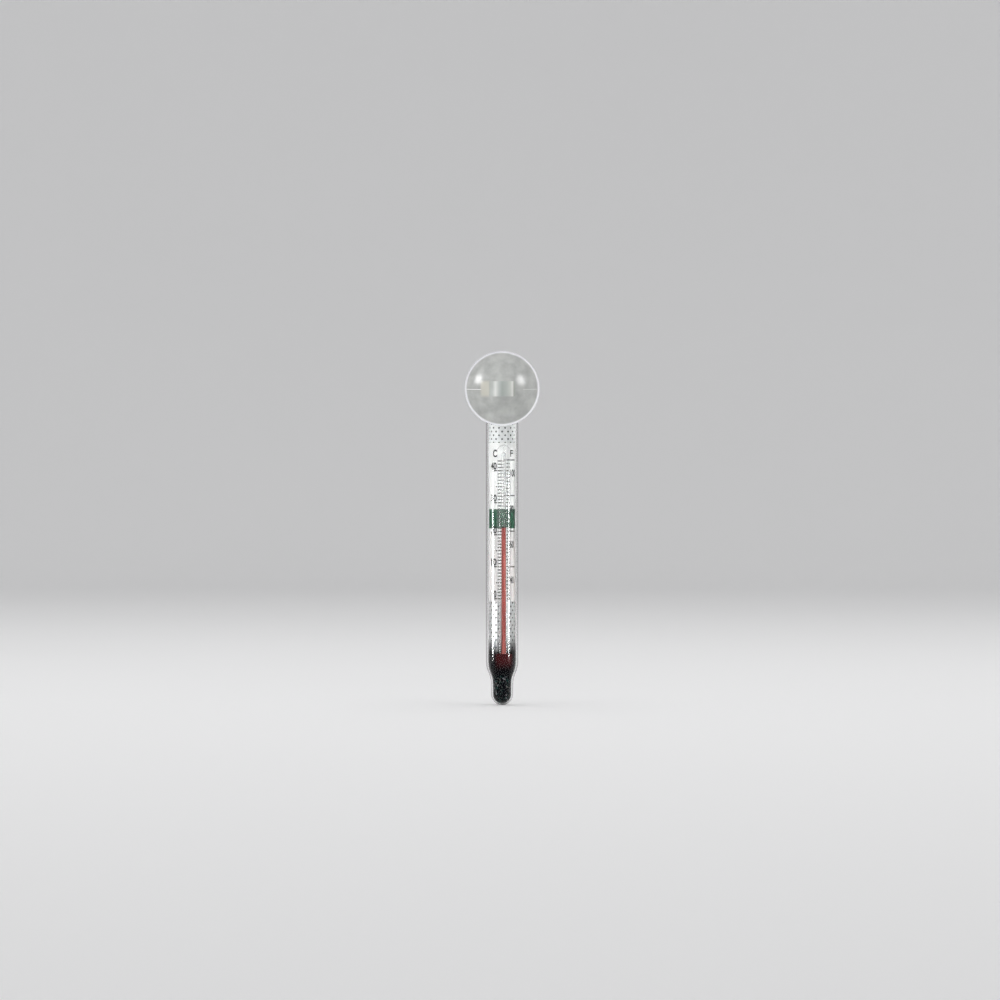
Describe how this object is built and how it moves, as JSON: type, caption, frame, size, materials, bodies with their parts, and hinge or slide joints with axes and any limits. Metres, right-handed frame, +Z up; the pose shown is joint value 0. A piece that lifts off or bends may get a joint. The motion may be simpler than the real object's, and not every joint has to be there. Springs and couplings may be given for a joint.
{
  "type": "aquarium thermometer",
  "caption": "Sealed glass aquarium thermometer with a red spirit column, a paper scale and a suction cup that grips the tube.",
  "frame": {"origin": "centre of the suction cup's rim, in the plane that lies on the pane", "axes": "+Z up along the glass tube, -Y out of the suction cup towards the pane, +X to the right as the scale is read through the pane"},
  "size_m": [0.023, 0.0202, 0.1099],
  "materials": {
    "cup_pvc": "milky, satin",
    "tube_glass": "clear, polished",
    "liner_foil": "silvery, dotted",
    "card_paper": "matt paper",
    "green_ink": "printed ink",
    "black_ink": "printed ink",
    "stem_glass": "clear, polished",
    "red_spirit": "dyed spirit",
    "resin": "dark, glossy",
    "shot_steel": "blackened, glittering"
  },
  "bodies": {
    "cup": {"suction_cup": "cup_pvc"},
    "thermometer": {"outer_tube": "tube_glass", "backing_liner": "liner_foil", "scale_card": "card_paper", "comfort_band": "green_ink", "celsius_marks": "black_ink", "fahrenheit_marks": "black_ink", "capillary_stem": "stem_glass", "spirit_reservoir": "red_spirit", "ballast_resin": "resin", "ballast_shot": "shot_steel"},
    "spirit": {"spirit_thread": "red_spirit"}
  },
  "joints": [
    {"name": "tube_slide", "type": "slide", "parent": "cup", "child": "thermometer", "axis": [0, 0, 1], "range_m": [-0.003, 0.08]},
    {"name": "spirit_rise", "type": "slide", "parent": "thermometer", "child": "spirit", "axis": [0, 0, 1], "range_m": [-0.0226, 0.0204], "deforming": ["spirit_thread"]}
  ]
}
